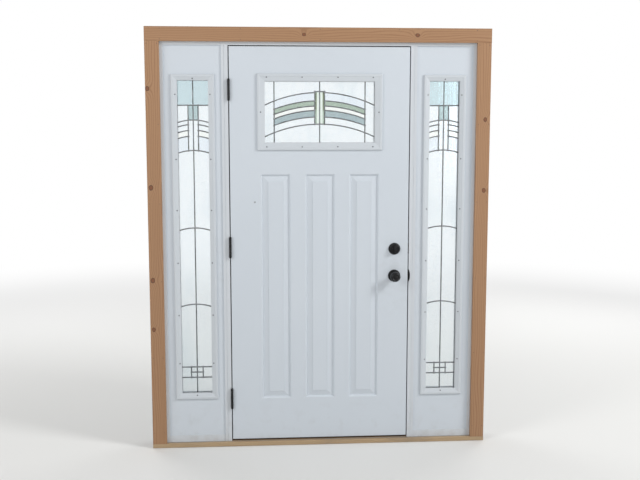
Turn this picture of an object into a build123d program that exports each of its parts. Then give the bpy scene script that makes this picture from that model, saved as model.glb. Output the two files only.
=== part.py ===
from build123d import *
import os

# Inswing entry door unit with a sidelight at each side, as it stands in a wall.
# Millimetres. +X is right as seen from inside, -Y is the room, +Y is outdoors, +Z is up.
# The origin is on the underside of the sill, at the middle of the width and of the jamb depth.

# Door slab
slab_width = 908.0
slab_height = 2013.0
slab_thickness = 44.5
slab_lift = 33.0            # slab's bottom edge above the floor
slab_edge_ease = 1.0
swing_gap = 5.0             # open gap between the slab and the frame
latch_bevel = 2.3           # how far the latch edge leans back at the outer face

# Frame
jamb_depth = 116.0
rabbet_depth = 50.0         # from the room side edge to the stop
stop_projection = 13.0
mullion_face = 33.0
jamb_face = 32.0
mull_joint_offset = 19.0    # where the two halves of a mullion meet, from the door side
mull_joint_width = 1.2
mull_joint_depth = 1.5

# Sidelights
sidelight_width = 286.0
base_strip_height = 35.0
base_strip_proud = 2.0

# Sill, threshold cap and floor strip
sill_rise = 23.0
sill_nose_rise = 12.0
sill_projection = 42.0      # how far the sill stands out past the jambs, outdoors
sill_tread_count = 5
sill_tread_pitch = 7.0
sill_tread_width = 3.0
sill_tread_rise = 1.2
sill_tread_setback = 6.0
cap_rise = 2.0              # cap above the sill
cap_width = 40.0
cap_tongue = 8.0
floor_strip_height = 21.0

# Casing, room side
casing_width = 71.0
casing_thickness = 19.0
casing_reveal = 16.5        # jamb edge left showing
casing_edge_round = 2.0

# Brick moulding, outdoors
brickmould_width = 50.0
brickmould_thickness = 32.0
brickmould_reveal = 18.0
brickmould_bead = 12.0
brickmould_cove = 10.0
brickmould_back_band = 20.0

# Lights: glass openings and the moulded trim round them
door_light_side = 177.0     # from the slab's side edge to the glass
door_light_rise = 304.0
door_top_rail = 172.0       # from the slab's head to the glass
door_trim_width = 39.0
sidelight_stile = 66.0      # from the panel's side edge to the glass
sidelight_top_rail = 173.0
sidelight_bottom_rail = 223.0
sidelight_trim_width = 31.0
trim_proud = 9.0
trim_lip = 3.5
trim_bead = 12.0
trim_leg = 6.0              # the part of the trim that reaches in to the pane
trim_overlap = 14.0         # trim that lies on the slab, past the cut-out
pane_thickness = 3.2
pane_spacing = 11.0
glass_bite = 8.0            # glass held behind the trim
spacer_width = 6.0
leaded_glass_thickness = 3.0

# Raised panels
panel_width = 150.0
panel_pitch = 225.0
panel_foot = 215.0          # above the slab's bottom edge
panel_height = 1163.0
panel_sink = 8.0
panel_bead = 4.0
panel_bead_sink = 2.5
panel_cove = 4.0
panel_flat = 5.0
panel_slope = 24.5
panel_field_step = 1.5
cutter_spare = 1.0

# Hinges
hinge_head_drop = 213.0     # top hinge's middle below the slab's head
hinge_foot_rise = 218.0     # bottom hinge's middle above the slab's bottom edge
hinge_middle_drop = 1.0     # middle hinge's middle below the point halfway between the others
hinge_length = 102.0
leaf_thickness = 2.5
leaf_reach = 38.0           # from the room side face into the mortise
leaf_corner = 16.0
knuckle_radius = 6.5
knuckle_count = 3
knuckle_gap = 0.4
pin_radius = 3.0
pin_slack = 0.06
pin_setback = 7.0           # pin axis in front of the slab's room side face

# Lock set
backset = 70.0
knob_height = 853.0         # above the slab's bottom edge
lock_spacing = 140.0
rose_radius = 32.0
rose_thickness = 7.0
rose_rim = 4.0
neck_radius = 11.0
neck_length = 26.0
neck_slack = 1.0
knob_radius = 26.0
knob_reach = 62.0
knob_shoulder = 10.0
knob_crown = 12.0
knob_crown_radius = 21.0
latch_height = 20.0
latch_thickness = 13.0
latch_tail = 30.0
bolt_height = 24.0
bolt_thickness = 14.0
bolt_slack = 2.0
bolt_plate_slack = 0.5
bolt_throw = 25.0
bolt_tail = 40.0
faceplate_length = 57.0
faceplate_width = 25.4
faceplate_thickness = 2.5
deadbolt_radius = 31.0
deadbolt_thickness = 11.0
deadbolt_slope = 5.0
turn_stem_radius = 4.0
turn_stem_slack = 2.0
turn_hub_radius = 12.0
turn_hub_thickness = 3.0
turn_length = 34.0
turn_thickness = 8.0
turn_reach = 17.0
turn_round = 8.0
turn_clearance = 0.5
cylinder_radius = 20.0
cylinder_thickness = 18.0
strike_length = 57.0
strike_width = 28.0
strike_thickness = 2.0
strike_lip_height = 66.0
strike_lip_reach = 7.0

# Seals
seal_width = 9.0
seal_slack = 0.5
seal_inset = 1.0
sweep_clearance = 5.0        # above the cap
sweep_inset = 1.0
sweep_plate = 1.2
sweep_fin_count = 3
sweep_fin_width = 2.0

# Places worked out from the sizes above
room_face = -jamb_depth / 2
street_face = jamb_depth / 2
stop_face = room_face + rabbet_depth
slab_back = room_face + slab_thickness
slab_half = slab_width / 2
slab_foot = slab_lift
slab_head = slab_foot + slab_height
door_jamb_x = slab_half + swing_gap
sidelight_inner_x = door_jamb_x + mullion_face
sidelight_outer_x = sidelight_inner_x + sidelight_width
sidelight_mid_x = sidelight_inner_x + sidelight_width / 2
unit_half = sidelight_outer_x + jamb_face
head_foot = slab_head + swing_gap
unit_head = head_foot + jamb_face
panel_face = stop_face - slab_thickness
panel_foot_z = sill_rise + base_strip_height
slab_mid_y = room_face + slab_thickness / 2
sidelight_mid_y = panel_face + slab_thickness / 2
pin_x = -(slab_half + swing_gap / 2)
pin_y = room_face - pin_setback
top_hinge = slab_height - hinge_head_drop
middle_hinge = (top_hinge + hinge_foot_rise) / 2 - hinge_middle_drop
hinge_heights = (top_hinge, middle_hinge, hinge_foot_rise)
lock_x = slab_half - backset
lock_edge_x = slab_half - latch_bevel / 2
knob_z = slab_foot + knob_height
deadbolt_z = knob_z + lock_spacing
casing_inner = sidelight_outer_x + casing_reveal
casing_outer = casing_inner + casing_width
casing_foot_z = head_foot + casing_reveal
door_light_head = slab_head - door_top_rail
door_light_half = slab_half - door_light_side
sidelight_foot = panel_foot_z + sidelight_bottom_rail
sidelight_head = head_foot - sidelight_top_rail
sidelight_half = sidelight_width / 2 - sidelight_stile


def grown(light, spare):
    """Left, right, foot and head of a light, grown by spare."""
    x0, x1, z0, z1 = light
    return x0 - spare, x1 + spare, z0 - spare, z1 + spare


def block(x0, x1, y0, y1, z0, z1):
    middle = Vector((x0 + x1) / 2, (y0 + y1) / 2, (z0 + z1) / 2)
    return Pos(middle) * Box(x1 - x0, y1 - y0, z1 - z0)


def plate(light, y0, y1):
    x0, x1, z0, z1 = light
    return block(x0, x1, y0, y1, z0, z1)


def polygon(points):
    return make_face(Polyline(*points, close=True))


def upright(section, z0, z1):
    """An upright bar from its plan section."""
    return extrude(Plane.XY.offset(z0) * section, z1 - z0)


def crossbar(section, x0, x1):
    """A level bar along X from its (Y, Z) section."""
    return extrude(Plane.YZ.offset(x0) * section, x1 - x0)


def mirrored(shape):
    return mirror(shape, about=Plane.YZ)


def ring(light, outline, face_y, outward):
    """A mitred ring: the (inward, proud) outline swept round an upright rectangle."""
    x0, x1, z0, z1 = light
    middle = (x0 + x1) / 2
    corners = [(middle, z0), (x1, z0), (x1, z1), (x0, z1), (x0, z0), (middle, z0)]
    path = Polyline(*[(x, face_y, z) for x, z in corners])
    section = polygon([(middle, face_y + outward * proud, z0 + inward) for inward, proud in outline])
    return sweep(section, path=path, transition=Transition.RIGHT)


def disc(x, z, y0, y1, radius):
    """A round plate or rod along Y."""
    return extrude(Plane.XZ.offset(-y0) * Pos(x, z) * Circle(radius), y0 - y1)


def turned(x, z, face_y, outward, outline):
    """A turned piece along Y, from its (radius, proud) outline."""
    side = Plane(origin=(x, face_y, z), x_dir=(1, 0, 0), z_dir=(0, 0, outward))
    return revolve(side * polygon(outline), Axis((x, face_y, z), (0, 1, 0)), 360)


os.makedirs("parts", exist_ok=True)


def save(shape, name):
    export_step(shape, "parts/" + name + ".step")


# Sill, threshold cap and floor strip
def make_sill():
    """A sill with a level seat for the frame and a sloping tread outdoors."""
    back = street_face + sill_projection
    fall = (sill_rise - sill_nose_rise) / (back - stop_face)
    outline = [(room_face, 0), (room_face, sill_rise), (stop_face, sill_rise)]
    first = back - sill_tread_setback - sill_tread_count * sill_tread_pitch
    for number in range(sill_tread_count):
        start = first + number * sill_tread_pitch
        end = start + sill_tread_width
        low, high = sill_rise - fall * (start - stop_face), sill_rise - fall * (end - stop_face)
        outline += [(start, low), (start, low + sill_tread_rise), (end, high + sill_tread_rise), (end, high)]
    outline += [(back, sill_nose_rise), (back, 0)]
    return crossbar(polygon(outline), -unit_half, unit_half)


def make_threshold_cap():
    front, back = slab_mid_y - cap_width / 2, slab_mid_y + cap_width / 2
    body = block(-door_jamb_x, door_jamb_x, front, back, sill_rise - cap_tongue, sill_rise + cap_rise)
    crown = [edge for edge in body.edges().filter_by(Axis.X) if edge.center().Z > sill_rise]
    return chamfer(crown, cap_rise / 2)


def make_floor_strip():
    return eased_board(-casing_outer, casing_outer, 0, floor_strip_height, Axis.X)


# Head jamb, outer jambs and mullions
def make_head_jamb():
    stop_foot = head_foot - stop_projection
    section = polygon([
        (room_face, head_foot), (stop_face, head_foot), (stop_face, stop_foot),
        (street_face, stop_foot), (street_face, unit_head), (room_face, unit_head),
    ])
    return crossbar(section, -unit_half, unit_half)


def make_outer_jamb():
    stop_x = sidelight_outer_x - stop_projection
    section = polygon([
        (sidelight_outer_x, room_face), (sidelight_outer_x, stop_face), (stop_x, stop_face),
        (stop_x, street_face), (unit_half, street_face), (unit_half, room_face),
    ])
    return upright(section, 0, head_foot) - sill - head_jamb


def make_mullion():
    """A post with a rabbet for the sidelight and a flat side for the door's stop."""
    stop_out = sidelight_inner_x + stop_projection
    section = polygon([
        (door_jamb_x, room_face), (door_jamb_x, street_face), (stop_out, street_face), (stop_out, stop_face),
        (sidelight_inner_x, stop_face), (sidelight_inner_x, room_face),
    ])
    joint = door_jamb_x + mull_joint_offset
    groove = block(joint, joint + mull_joint_width, room_face, room_face + mull_joint_depth, 0, head_foot)
    return upright(section, 0, head_foot) - groove - sill - head_jamb


def make_door_stop():
    """The strip planted on a mullion's flat side, which the closed slab stands against."""
    strip = block(door_jamb_x - stop_projection, door_jamb_x, stop_face, street_face, 0, head_foot)
    return strip - sill - head_jamb


# Casing round the room side and brick moulding outdoors
def eased_board(x0, x1, z0, z1, run):
    """A flat board on the room side of the frame, its long front edges rounded."""
    board = block(x0, x1, room_face - casing_thickness, room_face, z0, z1)
    middle = room_face - casing_thickness / 2
    front = [edge for edge in board.edges().filter_by(run) if edge.center().Y < middle]
    return fillet(front, casing_edge_round)


def make_side_casing():
    return eased_board(casing_inner, casing_outer, floor_strip_height, casing_foot_z, Axis.Z)


def make_head_casing():
    return eased_board(-casing_outer, casing_outer, casing_foot_z, casing_foot_z + casing_width, Axis.X)


def brickmould_section():
    """The moulding from its inner edge outwards: a bead, a cove and a thick back band."""
    bead_front = brickmould_thickness - brickmould_cove
    band = brickmould_width - brickmould_back_band
    straight = Polyline(
        (brickmould_bead, bead_front), (0, bead_front), (0, 0), (brickmould_width, 0),
        (brickmould_width, brickmould_thickness), (band, brickmould_thickness),
        (band, bead_front + brickmould_cove / 2),
    )
    cove_end = (band, bead_front + brickmould_cove / 2)
    cove = RadiusArc(cove_end, (brickmould_bead, bead_front), brickmould_back_band)
    return make_face(straight + cove)


def make_side_brickmould():
    inner = sidelight_outer_x + brickmould_reveal
    place = Pos(inner, street_face) * brickmould_section()
    return upright(place, 0, head_foot + brickmould_reveal) - sill


def make_head_brickmould():
    reach = sidelight_outer_x + brickmould_reveal + brickmould_width
    corner = (reach, street_face, head_foot + brickmould_reveal)
    side = Plane(origin=corner, x_dir=(0, 0, 1), z_dir=(-1, 0, 0))
    return extrude(side * brickmould_section(), 2 * reach)


# Lights: panes, edge spacer, textured glass and trim
def make_trim(light, trim_width, face_y, outward):
    """The moulded ring that holds a light: a bead and a slope on the face, and a leg in to the pane."""
    leg_depth = (slab_thickness - pane_spacing) / 2 - pane_thickness
    outline = [
        (0, 0), (0, trim_proud - trim_lip), (trim_lip, trim_proud), (trim_bead, trim_proud),
        (trim_bead + trim_lip, trim_proud - trim_lip / 2), (trim_width - trim_lip, trim_lip),
        (trim_width, trim_lip / 2), (trim_width, -leg_depth), (trim_width - trim_leg, -leg_depth),
        (trim_width - trim_leg, 0),
    ]
    return ring(grown(light, trim_width), outline, face_y, outward)


def make_panes(light, middle_y):
    half = pane_spacing / 2
    edge = grown(light, glass_bite)
    front = plate(edge, middle_y - half - pane_thickness, middle_y - half)
    back = plate(edge, middle_y + half, middle_y + half + pane_thickness)
    return Compound([front, back])


def make_spacer(light, middle_y):
    """The sealed edge between the two panes, which also holds the leaded panel."""
    y0, y1 = middle_y - pane_spacing / 2, middle_y + pane_spacing / 2
    return plate(grown(light, glass_bite), y0, y1) - plate(leaded_area(light), y0, y1)


def leaded_area(light):
    return grown(light, glass_bite - spacer_width)


def make_leaded_glass(light, middle_y):
    """The sheet of textured glass between the panes."""
    half = leaded_glass_thickness / 2
    return plate(leaded_area(light), middle_y - half, middle_y + half)


# Door slab with its raised panels, cut-out, mortises and bores
def panel_groove(x, outward, face_y):
    """The moulded sinking round one raised field, as a cutter."""
    cove_end = panel_bead + panel_cove
    flat_end = cove_end + panel_flat
    slope_end = flat_end + panel_slope
    outline = [
        (0, cutter_spare), (0, 0), (panel_bead, -panel_bead_sink), (cove_end, -panel_sink),
        (flat_end, -panel_sink), (slope_end, -panel_field_step), (slope_end, cutter_spare),
    ]
    foot = slab_foot + panel_foot
    half = panel_width / 2
    return ring((x - half, x + half, foot, foot + panel_height), outline, face_y, outward)


def hinge_leaf(side, height):
    """The flat of one leaf, lying on the slab's edge (side 1) or on the mullion's face (side -1)."""
    face_x = pin_x + side * swing_gap / 2
    back = face_x + side * leaf_thickness
    z = slab_foot + height
    flat = block(
        min(face_x, back), max(face_x, back), room_face, room_face + leaf_reach,
        z - hinge_length / 2, z + hinge_length / 2,
    )
    corners = [edge for edge in flat.edges().filter_by(Axis.X) if edge.center().Y > room_face + leaf_corner]
    return fillet(corners, leaf_corner)


def make_door_slab():
    slab = block(-slab_half, slab_half, room_face, slab_back, slab_foot, slab_head)
    lean = polygon([(slab_half, room_face), (slab_half, slab_back), (slab_half - latch_bevel, slab_back)])
    slab -= upright(lean, slab_foot, slab_head)
    rim = slab.faces().sort_by(Axis.Y)[0].edges() + slab.faces().sort_by(Axis.Y)[-1].edges()
    slab = chamfer(rim, slab_edge_ease)
    for place in (-panel_pitch, 0, panel_pitch):
        slab -= panel_groove(place, -1, room_face)
        slab -= panel_groove(place, 1, slab_back)
    slab -= plate(grown(door_light, door_trim_width - trim_overlap), room_face, slab_back)
    for height in hinge_heights:
        slab -= hinge_leaf(1, height)
    for z in (knob_z, deadbolt_z):
        slab -= disc(lock_x, z, room_face, slab_back, neck_radius + neck_slack)
        slab -= faceplate_recess(z)
    slab -= edge_bolt(deadbolt_z, bolt_height, bolt_thickness, backset, bolt_slack)
    slab -= edge_bolt(knob_z, latch_height, latch_thickness, backset, bolt_slack)
    return slab


def faceplate_recess(z):
    return block(
        lock_edge_x - faceplate_thickness, slab_half, slab_mid_y - faceplate_width / 2,
        slab_mid_y + faceplate_width / 2, z - faceplate_length / 2, z + faceplate_length / 2,
    )


def edge_bolt(z, height, thickness, tail, spare):
    """A bolt at rest in the latch edge, its end flush with the faceplate, grown by spare."""
    half_y, half_z = thickness / 2 + spare, height / 2 + spare
    return block(
        lock_edge_x - tail, lock_edge_x, slab_mid_y - half_y, slab_mid_y + half_y, z - half_z, z + half_z
    )


def make_sidelight_panel():
    x0, x1 = sidelight_inner_x, sidelight_outer_x
    panel = block(x0, x1, panel_face, stop_face, panel_foot_z, head_foot)
    return panel - plate(grown(side_light, sidelight_trim_width - trim_overlap), panel_face, stop_face)


def make_base_strip():
    front = panel_face - base_strip_proud
    return block(sidelight_inner_x, sidelight_outer_x, front, stop_face, sill_rise, panel_foot_z)


# Hinges
def make_leaf(side, height):
    """A leaf with its knuckles: the frame's has the end ones and the pin, the door's the middle one."""
    foot = slab_foot + height - hinge_length / 2
    step = hinge_length / knuckle_count
    face_x = pin_x + side * swing_gap / 2
    back = face_x + side * leaf_thickness
    leaf = hinge_leaf(side, height)
    for number in range(knuckle_count):
        if (number % 2 == 0) != (side < 0):
            continue
        low = foot + number * step + (knuckle_gap / 2 if number else 0)
        high = foot + (number + 1) * step - (knuckle_gap / 2 if number < knuckle_count - 1 else 0)
        leaf += Pos(pin_x, pin_y, (low + high) / 2) * Cylinder(knuckle_radius, high - low)
        leaf += block(min(face_x, back), max(face_x, back), pin_y, room_face, low, high)
    if side > 0:
        return leaf - hinge_pin(height, pin_radius + pin_slack)
    return leaf + hinge_pin(height, pin_radius)


def hinge_pin(height, radius):
    return Pos(pin_x, pin_y, slab_foot + height) * Cylinder(radius, hinge_length)


# Lock set
def make_knob_rose(face_y, outward):
    hole = neck_radius + neck_slack
    return turned(lock_x, knob_z, face_y, outward, [
        (hole, 0), (rose_radius, 0), (rose_radius - rose_rim, rose_thickness), (hole, rose_thickness),
    ])


def make_knob(face_y, outward):
    """Neck and round knob with a flat face."""
    return turned(lock_x, knob_z, face_y, outward, [
        (0, neck_slack), (neck_radius, neck_slack), (neck_radius, neck_length),
        (knob_radius, neck_length + knob_shoulder), (knob_radius, knob_reach - knob_crown),
        (knob_crown_radius, knob_reach), (0, knob_reach),
    ])


def make_deadbolt_rose():
    hole = turn_stem_radius + turn_stem_slack
    return turned(lock_x, deadbolt_z, room_face, -1, [
        (hole, 0), (deadbolt_radius, 0), (deadbolt_radius - deadbolt_slope, deadbolt_thickness),
        (hole, deadbolt_thickness),
    ])


def make_thumbturn():
    """A stem into the lock case, a small hub and an upright wing."""
    base = room_face - deadbolt_thickness - turn_clearance
    hub_front = base - turn_hub_thickness
    hub = disc(lock_x, deadbolt_z, hub_front, base, turn_hub_radius)
    case_face = slab_mid_y - bolt_thickness / 2 - bolt_slack
    stem = disc(lock_x, deadbolt_z, base, case_face, turn_stem_radius)
    half = turn_thickness / 2
    wing = block(
        lock_x - half, lock_x + half, base - turn_reach, hub_front,
        deadbolt_z - turn_length / 2, deadbolt_z + turn_length / 2,
    )
    ends = [edge for edge in wing.edges().filter_by(Axis.X) if edge.center().Y < hub_front - turn_clearance]
    return hub + stem + fillet(ends, turn_round)


def make_deadbolt_cylinder():
    return turned(lock_x, deadbolt_z, slab_back, 1, [
        (0, 0), (deadbolt_radius, 0), (cylinder_radius, cylinder_thickness), (0, cylinder_thickness),
    ])


def make_faceplate(z, bolt):
    face = block(
        lock_edge_x - faceplate_thickness, lock_edge_x, slab_mid_y - faceplate_width / 2,
        slab_mid_y + faceplate_width / 2, z - faceplate_length / 2, z + faceplate_length / 2,
    )
    return face - bolt


def make_strike(z, lip):
    """A plate let into the latch mullion; the latch's one has a rounded lip at the room side."""
    half = strike_length / 2
    x0, x1 = door_jamb_x, door_jamb_x + strike_thickness
    front, back = slab_mid_y - strike_width / 2, slab_mid_y + strike_width / 2
    strike = block(x0, x1, front, back, z - half, z + half)
    if lip:
        strike += block(x0, x1, room_face - strike_thickness, front, z - half, z + half)
        low, high = (x0, z - strike_lip_height / 2), (x0, z + strike_lip_height / 2)
        bow = make_face(Polyline(low, high) + ThreePointArc(high, (x0 + strike_lip_reach, z), low))
        strike += extrude(Plane.XZ.offset(-room_face) * bow, strike_thickness)
    return strike - strike_hole(z)


def strike_hole(z):
    half_y, half_z = bolt_thickness / 2 + bolt_slack, bolt_height / 2 + bolt_slack
    depth = lock_edge_x + bolt_throw + bolt_slack - door_jamb_x
    return block(
        door_jamb_x, door_jamb_x + depth, slab_mid_y - half_y, slab_mid_y + half_y, z - half_z, z + half_z
    )


# Seals
def make_door_seal():
    """Foam seal in the corner of the stop, up both sides and across the head."""
    front = slab_back + seal_slack
    outer = door_jamb_x - seal_inset
    top = head_foot - seal_inset
    side = block(outer - seal_width, outer, front, stop_face, sill_rise, top)
    head = block(-outer, outer, front, stop_face, top - seal_width, top)
    return side + mirrored(side) + head


def make_door_sweep():
    """A strip under the slab with fins that hang down to the cap."""
    top, foot = slab_foot, sill_rise + cap_rise + sweep_clearance
    front, back = room_face + sweep_inset, slab_back - sweep_inset
    pitch = (back - front - sweep_fin_width) / (sweep_fin_count - 1)
    outline = [(back, top), (front, top)]
    for number in range(sweep_fin_count):
        left = front + number * pitch
        right = left + sweep_fin_width
        outline += [(left, foot), (right, foot)]
        if number < sweep_fin_count - 1:
            outline += [(right, top - sweep_plate), (left + pitch, top - sweep_plate)]
    return crossbar(polygon(outline), -slab_half + sweep_inset, slab_half - latch_bevel - sweep_inset)


door_light = (-door_light_half, door_light_half, door_light_head - door_light_rise, door_light_head)
side_light = (
    sidelight_mid_x - sidelight_half, sidelight_mid_x + sidelight_half, sidelight_foot, sidelight_head
)

# The frame, from the floor up
threshold_cap = make_threshold_cap()
sill = make_sill() - threshold_cap
head_jamb = make_head_jamb()
outer_jamb = make_outer_jamb()
latch_mullion = make_mullion()
hinge_mullion = mirrored(latch_mullion)
for height in hinge_heights:
    hinge_mullion -= hinge_leaf(-1, height)
latch_strike = make_strike(knob_z, True)
deadbolt_strike = make_strike(deadbolt_z, False)
latch_mullion = latch_mullion - latch_strike - deadbolt_strike - strike_hole(knob_z) - strike_hole(deadbolt_z)
save(sill, "sill")
save(threshold_cap, "threshold_cap")
save(make_floor_strip(), "floor_strip")
save(head_jamb, "head_jamb")
save(hinge_mullion, "hinge_mullion")
save(latch_mullion, "latch_mullion")
door_stop = make_door_stop()
save(door_stop, "door_stop_latch")
save(mirrored(door_stop), "door_stop_hinge")
save(latch_strike, "latch_strike")
save(deadbolt_strike, "deadbolt_strike")
save(make_door_seal(), "door_seal")
save(make_head_casing(), "casing_head")
save(make_head_brickmould(), "brickmould_head")

# What stands at the right and, mirrored, at the left
pairs = {
    "outer_jamb": outer_jamb,
    "casing": make_side_casing(),
    "brickmould": make_side_brickmould(),
    "sidelight_panel": make_sidelight_panel(),
    "sidelight_base_strip": make_base_strip(),
    "sidelight_trim_inside": make_trim(side_light, sidelight_trim_width, panel_face, -1),
    "sidelight_trim_outside": make_trim(side_light, sidelight_trim_width, stop_face, 1),
    "sidelight_panes": make_panes(side_light, sidelight_mid_y),
    "sidelight_spacer": make_spacer(side_light, sidelight_mid_y),
    "sidelight_leaded_glass": make_leaded_glass(side_light, sidelight_mid_y),
}
for name, shape in pairs.items():
    save(shape, name + "_right")
    save(mirrored(shape), name + "_left")

# The door leaf
save(make_door_slab(), "door_slab")
save(make_trim(door_light, door_trim_width, room_face, -1), "door_trim_inside")
save(make_trim(door_light, door_trim_width, slab_back, 1), "door_trim_outside")
save(make_panes(door_light, slab_mid_y), "door_panes")
save(make_spacer(door_light, slab_mid_y), "door_spacer")
save(make_leaded_glass(door_light, slab_mid_y), "door_leaded_glass")
save(make_door_sweep(), "door_sweep")
save(Compound([make_leaf(-1, height) for height in hinge_heights]), "hinge_leaves_frame")
save(Compound([make_leaf(1, height) for height in hinge_heights]), "hinge_leaves_door")

# The lock set
latch_hole = edge_bolt(knob_z, latch_height, latch_thickness, latch_tail, bolt_plate_slack)
bolt_hole = edge_bolt(deadbolt_z, bolt_height, bolt_thickness, bolt_tail, bolt_plate_slack)
save(make_faceplate(knob_z, latch_hole), "latch_faceplate")
save(edge_bolt(knob_z, latch_height, latch_thickness, latch_tail, 0), "latch_bolt")
save(make_faceplate(deadbolt_z, bolt_hole), "deadbolt_faceplate")
save(edge_bolt(deadbolt_z, bolt_height, bolt_thickness, bolt_tail, 0), "deadbolt_bolt")
save(make_knob_rose(room_face, -1), "knob_rose_inside")
save(make_knob_rose(slab_back, 1), "knob_rose_outside")
save(make_knob(room_face, -1), "knob_inside")
save(make_knob(slab_back, 1), "knob_outside")
save(make_deadbolt_rose(), "deadbolt_rose_inside")
save(make_deadbolt_cylinder(), "deadbolt_cylinder_outside")
save(make_thumbturn(), "thumbturn")
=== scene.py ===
import math

import bpy
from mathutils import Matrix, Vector


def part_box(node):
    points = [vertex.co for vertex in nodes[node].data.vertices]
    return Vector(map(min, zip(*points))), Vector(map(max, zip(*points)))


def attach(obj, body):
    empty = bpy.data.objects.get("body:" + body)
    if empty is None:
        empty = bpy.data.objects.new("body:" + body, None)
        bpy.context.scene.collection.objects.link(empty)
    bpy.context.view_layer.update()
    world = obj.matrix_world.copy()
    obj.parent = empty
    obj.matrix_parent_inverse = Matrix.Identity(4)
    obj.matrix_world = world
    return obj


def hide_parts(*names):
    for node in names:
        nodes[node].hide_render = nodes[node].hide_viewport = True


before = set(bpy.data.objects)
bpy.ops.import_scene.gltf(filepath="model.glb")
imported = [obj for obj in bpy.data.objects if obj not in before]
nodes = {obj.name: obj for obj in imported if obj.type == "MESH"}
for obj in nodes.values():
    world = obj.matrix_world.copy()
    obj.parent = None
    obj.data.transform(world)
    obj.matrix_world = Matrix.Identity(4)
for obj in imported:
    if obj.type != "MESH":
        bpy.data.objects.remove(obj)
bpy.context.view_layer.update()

# The station point of the photograph: indoors, at eye height, a little left of the door's middle. The
# camera stays there and turns to the middle of the unit, with a lens long enough to fill the view.
station = Vector((-0.338, -4.736, 1.658))
unit_middle = Vector((0.0, -0.06, 1.075))


def facing_unit(place):
    """The turn of a camera or lamp at a place, so that it looks at the middle of the unit."""
    return (unit_middle - Vector(place)).to_track_quat("-Z", "Y").to_euler()


camera_data = bpy.data.cameras.new("camera")
camera_data.lens = 52
camera = bpy.data.objects.new("camera", camera_data)
camera.location = station
camera.rotation_euler = facing_unit(station)
bpy.context.scene.collection.objects.link(camera)
bpy.context.scene.camera = camera
bpy.context.scene.view_settings.view_transform = "Standard"


# A plain studio: a pale floor that fades to white far off, a white surround, and four wide soft lamps
# turned to the middle of the unit, two on its room side and two on its street side.
class Wire:
    """A socket of a material's nodes. Sums, products and powers of wires add Math nodes."""

    def __init__(self, socket):
        self.socket = socket

    def node(self, kind, settings, sockets, output=0):
        """Any other node: its type, its settings, then the values or wires of its sockets."""
        made = self.socket.id_data.nodes.new("ShaderNode" + kind)
        for name, value in settings.items():
            setattr(made, name, value)
        feed(made, sockets)
        return Wire(made.outputs[output])

    def maths(self, operation, *others):
        """A Math node on this wire and any others."""
        return self.node("Math", {"operation": operation}, dict(enumerate((self, *others))))

    def __add__(self, other):
        return self.maths("ADD", other)

    def __radd__(self, other):
        return self.maths("ADD", other)

    def __sub__(self, other):
        return self.maths("SUBTRACT", other)

    def __rsub__(self, other):
        return self.node("Math", {"operation": "SUBTRACT"}, {0: other, 1: self})

    def __mul__(self, other):
        return self.maths("MULTIPLY", other)

    def __rmul__(self, other):
        return self.maths("MULTIPLY", other)

    def __truediv__(self, other):
        return self.maths("DIVIDE", other)

    def __pow__(self, other):
        return self.maths("POWER", other)

    def __rpow__(self, other):
        return self.node("Math", {"operation": "POWER"}, {0: other, 1: self})


def feed(node, sockets):
    """Gives a node's sockets their values or wires."""
    for name, value in sockets.items():
        if isinstance(value, Wire):
            node.id_data.links.new(value.socket, node.inputs[name])
        else:
            node.inputs[name].default_value = value


def tone(red, green, blue):
    """A colour as a screen shows it, 0 to 255, turned into what a shader takes."""
    return (*[(value / 255) ** 2.2 for value in (red, green, blue)], 1.0)


def step_between(value, low, high):
    """0 up to low, 1 from high on, and a soft step between."""
    limits = {"Value": value, "From Min": low, "From Max": high}
    return value.node("MapRange", {"interpolation_type": "SMOOTHSTEP"}, limits)


def fading(value, low, high):
    """1 up to low, 0 from high on, and a soft step between."""
    return 1.0 - step_between(value, low, high)


def new_finish(name):
    """A material, its shader, and the place on the piece in metres."""
    material = bpy.data.materials.new(name)
    material.use_nodes = True
    tree = material.node_tree
    place = Wire(tree.nodes.new("ShaderNodeTexCoord").outputs["Object"])
    return material, tree.nodes["Principled BSDF"], place


def start_piece():
    """Every operator acts on what is selected, so each new piece starts with nothing selected."""
    bpy.ops.object.select_all(action="DESELECT")


white = (1.0, 1.0, 1.0, 1.0)
room_light = 0.36
world = bpy.data.worlds.new("surround")
bpy.context.scene.world = world
world.use_nodes = True
rays = world.node_tree.nodes.new("ShaderNodeLightPath")
seen = Wire(rays.outputs["Is Camera Ray"]) + Wire(rays.outputs["Is Glossy Ray"])
seen = seen + Wire(rays.outputs["Is Transmission Ray"])
strength = seen.maths("MINIMUM", 1.0) * (1.0 - room_light) + room_light
feed(world.node_tree.nodes["Background"], {"Color": white, "Strength": strength})

floor_reach = 40.0
floor_gap = 0.001
fade_start, fade_end = 1.6, 7.0
start_piece()
bpy.ops.mesh.primitive_plane_add(size=floor_reach, location=(0, 0, -floor_gap))
floor = bpy.context.object
floor.name = "studio_floor"
floor_paint, shader, place = new_finish("studio_floor")
feed(shader, {"Base Color": tone(226, 226, 224), "Roughness": 0.8})
far_off = place.node("VectorMath", {"operation": "LENGTH"}, {0: place}, "Value")
fade = step_between(far_off, fade_start, fade_end)
glow = fade.node("Emission", {}, {"Color": white})
surface = fade.node("MixShader", {}, {0: fade, 1: Wire(shader.outputs[0]), 2: glow})
feed(floor_paint.node_tree.nodes["Material Output"], {"Surface": surface})
floor.data.materials.append(floor_paint)

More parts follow.
